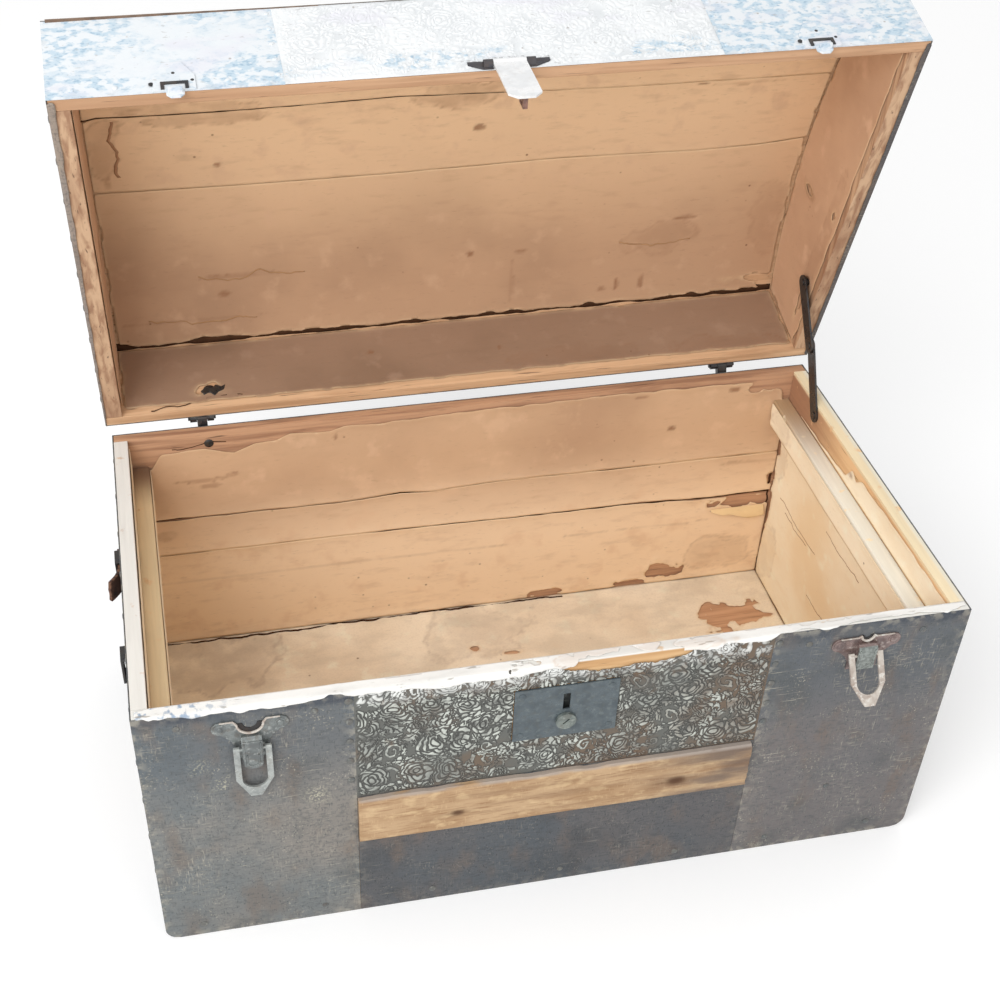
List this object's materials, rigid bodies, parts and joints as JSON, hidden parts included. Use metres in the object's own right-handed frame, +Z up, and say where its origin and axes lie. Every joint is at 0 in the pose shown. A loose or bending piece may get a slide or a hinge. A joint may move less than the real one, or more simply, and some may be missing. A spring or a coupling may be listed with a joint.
{
  "type": "camelback steamer trunk",
  "caption": "Travel trunk of tin-covered boards with a low domed lid that stands open on a jointed stay, an embossed front panel, a lock with hasp and bail catches.",
  "frame": {"origin": "middle of the underside of the box", "axes": "+Z up, -Y towards the front with the lock, +X to the right end with the lid stay"},
  "size_m": [0.7913, 0.5493, 0.7451],
  "materials": {
    "bare_wood": "bare weathered softwood",
    "papered_wood": "softwood lined with torn kraft paper",
    "painted_tin": "worn grey-green paint with rust",
    "embossed_tin": "embossed tin, pale paint rubbed off the dark ground",
    "pale_tin": "chalky pale blue paint",
    "dark_iron": "blackened iron",
    "grey_steel": "dull plated steel",
    "leather": "dry cracked leather"
  },
  "bodies": {
    "base": {"front_board": "papered_wood", "back_lower_board": "papered_wood", "back_upper_board": "papered_wood", "left_end_board": "papered_wood", "right_end_board": "papered_wood", "left_tray_cleat": "bare_wood", "right_tray_cleat": "bare_wood", "floor_front_board": "papered_wood", "floor_middle_board": "papered_wood", "floor_rear_board": "papered_wood", "front_left_sheet": "painted_tin", "front_right_sheet": "painted_tin", "front_embossed_sheet": "embossed_tin", "front_lower_sheet": "painted_tin", "left_end_sheet": "painted_tin", "right_end_sheet": "painted_tin", "back_sheet": "painted_tin", "front_slat": "bare_wood", "left_handle_front_cap": "dark_iron", "left_handle_rear_cap": "dark_iron", "right_handle_front_cap": "dark_iron", "right_handle_rear_cap": "dark_iron", "left_handle_strap_stub": "leather", "left_hinge_base_leaf": "dark_iron", "right_hinge_base_leaf": "dark_iron", "left_hinge_pin": "dark_iron", "right_hinge_pin": "dark_iron", "left_catch_plate": "grey_steel", "right_catch_plate": "grey_steel", "lock_plate": "painted_tin", "lock_case": "dark_iron"},
    "lid": {"lid_front_board": "papered_wood", "lid_back_board": "papered_wood", "lid_left_end_board": "papered_wood", "lid_right_end_board": "papered_wood", "lid_front_stave": "papered_wood", "lid_front_crown_stave": "papered_wood", "lid_rear_crown_stave": "papered_wood", "lid_rear_stave": "papered_wood", "lid_front_left_sheet": "pale_tin", "lid_front_right_sheet": "pale_tin", "lid_front_embossed_sheet": "embossed_tin", "lid_back_sheet": "painted_tin", "lid_left_end_sheet": "painted_tin", "lid_right_end_sheet": "painted_tin", "lid_top_sheet": "painted_tin", "left_hinge_lid_leaf": "dark_iron", "right_hinge_lid_leaf": "dark_iron", "left_lid_keeper": "grey_steel", "right_lid_keeper": "grey_steel", "hasp_leaf": "dark_iron", "hasp_pin": "dark_iron"},
    "hasp": {"hasp_plate": "grey_steel"},
    "left_bail": {"left_catch_bail": "grey_steel"},
    "right_bail": {"right_catch_bail": "grey_steel"},
    "key_plug": {"lock_key_plug": "grey_steel"},
    "bolt": {"lock_bolt": "grey_steel"},
    "stay_lower": {"stay_lower_arm": "dark_iron"},
    "stay_upper": {"stay_upper_arm": "dark_iron"}
  },
  "joints": [
    {"name": "lid_hinge", "type": "hinge", "parent": "base", "child": "lid", "pos_m": [0, 0.2155, 0.3097], "axis": [1, 0, 0], "range_deg": [0, 74]},
    {"name": "hasp_hinge", "type": "hinge", "parent": "lid", "child": "hasp", "pos_m": [0, 0.10019, 0.72199], "axis": [-1, 0, 0], "range_deg": [-12, 105]},
    {"name": "left_bail_hinge", "type": "hinge", "parent": "base", "child": "left_bail", "pos_m": [-0.282, -0.213, 0.258], "axis": [-1, 0, 0], "range_deg": [0, 178]},
    {"name": "right_bail_hinge", "type": "hinge", "parent": "base", "child": "right_bail", "pos_m": [0.282, -0.213, 0.27], "axis": [-1, 0, 0], "range_deg": [-35, 143]},
    {"name": "key_turn", "type": "hinge", "parent": "base", "child": "key_plug", "pos_m": [0, -0.2096, 0.236], "axis": [0, -1, 0], "range_deg": [0, 90]},
    {"name": "bolt_slide", "type": "slide", "parent": "base", "child": "bolt", "axis": [1, 0, 0], "range_m": [0, 0.0095]},
    {"name": "stay_lower_hinge", "type": "hinge", "parent": "base", "child": "stay_lower", "pos_m": [0.3636, 0.127, 0.293], "axis": [1, 0, 0], "range_deg": [0, 113.2]},
    {"name": "stay_upper_hinge", "type": "hinge", "parent": "lid", "child": "stay_upper", "pos_m": [0.3613, 0.20635, 0.41163], "axis": [1, 0, 0], "range_deg": [-102.7, 0]}
  ],
  "couplings": [
    {"joint": "bolt_slide", "follows": "key_turn", "m_per_rad": 0.006047},
    {"joint": "stay_lower_hinge", "follows": "lid_hinge", "ratio": 1.5286},
    {"joint": "stay_upper_hinge", "follows": "lid_hinge", "ratio": -1.3867}
  ]
}
